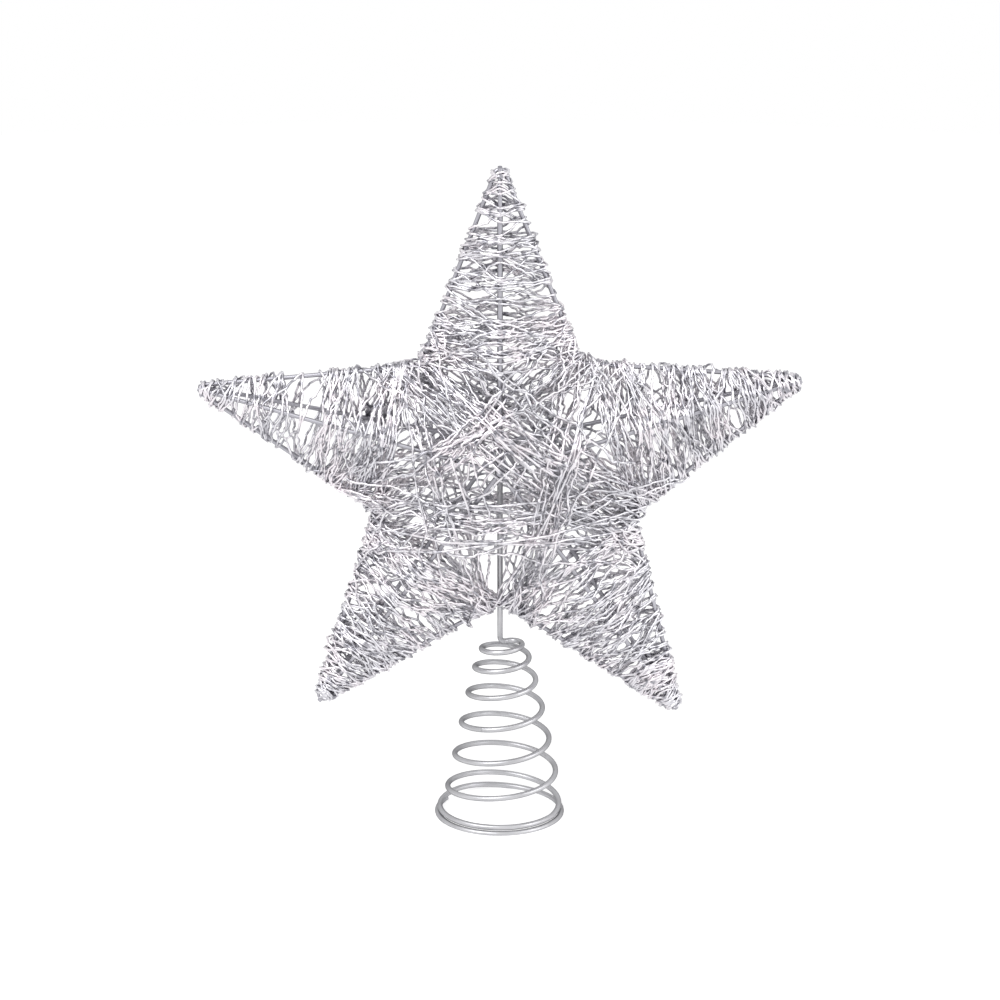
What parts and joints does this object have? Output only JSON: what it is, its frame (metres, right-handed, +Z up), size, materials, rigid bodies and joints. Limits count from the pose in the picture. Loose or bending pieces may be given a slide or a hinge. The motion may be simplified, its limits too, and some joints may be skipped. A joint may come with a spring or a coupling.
{
  "type": "christmas tree topper star",
  "caption": "Pointed wire star wound with thin silver wire, on a straight stem and a conical coil spring that slips over the tip of a christmas tree.",
  "frame": {"origin": "middle of the coil spring's flat foot, under the axis of the stem", "axes": "+Z up along the stem, +X to the right of the star seen from its front, front facing -Y"},
  "size_m": [0.2021, 0.0444, 0.2277],
  "materials": {
    "frame_wire": "silver-lacquered steel wire",
    "wrap_wire": "bright crinkled aluminium wire",
    "coil_wire": "satin silver-lacquered steel wire"
  },
  "bodies": {
    "base": {"coil_base_ring": "coil_wire", "coil_lower_turns": "coil_wire"},
    "coil_middle": {"coil_middle_turns": "coil_wire"},
    "coil_top": {"coil_top_turns": "coil_wire"},
    "star": {"outline_wire": "frame_wire", "front_apex_bead": "frame_wire", "rear_apex_bead": "frame_wire", "front_ridge_top": "frame_wire", "front_ridge_left": "frame_wire", "front_ridge_lower_left": "frame_wire", "front_ridge_lower_right": "frame_wire", "front_ridge_right": "frame_wire", "rear_ridge_top": "frame_wire", "rear_ridge_left": "frame_wire", "rear_ridge_lower_left": "frame_wire", "rear_ridge_lower_right": "frame_wire", "rear_ridge_right": "frame_wire", "arm_winding_top": "wrap_wire", "arm_winding_left": "wrap_wire", "arm_winding_lower_left": "wrap_wire", "arm_winding_lower_right": "wrap_wire", "arm_winding_right": "wrap_wire", "cross_wrap_1": "wrap_wire", "cross_wrap_2": "wrap_wire", "cross_wrap_3": "wrap_wire", "cross_wrap_4": "wrap_wire", "cross_wrap_5": "wrap_wire", "stem": "coil_wire"}
  },
  "joints": [
    {"name": "coil_compress", "type": "slide", "parent": "base", "child": "coil_middle", "axis": [0, 0, 1], "range_m": [-0.015, 0], "stiffness_N_per_m": 1028, "springref_m": 0.0013, "deforming": ["coil_lower_turns"]},
    {"name": "star_sway", "type": "hinge", "parent": "coil_middle", "child": "coil_top", "pos_m": [0, 0, 0.0428], "axis": [0, 1, 0], "range_deg": [-15, 15], "stiffness_Nm_per_rad": 0.22, "deforming": ["coil_middle_turns"]},
    {"name": "star_nod", "type": "hinge", "parent": "coil_top", "child": "star", "pos_m": [0, 0, 0.057], "axis": [1, 0, 0], "range_deg": [-15, 15], "stiffness_Nm_per_rad": 0.22, "deforming": ["coil_top_turns"]}
  ]
}
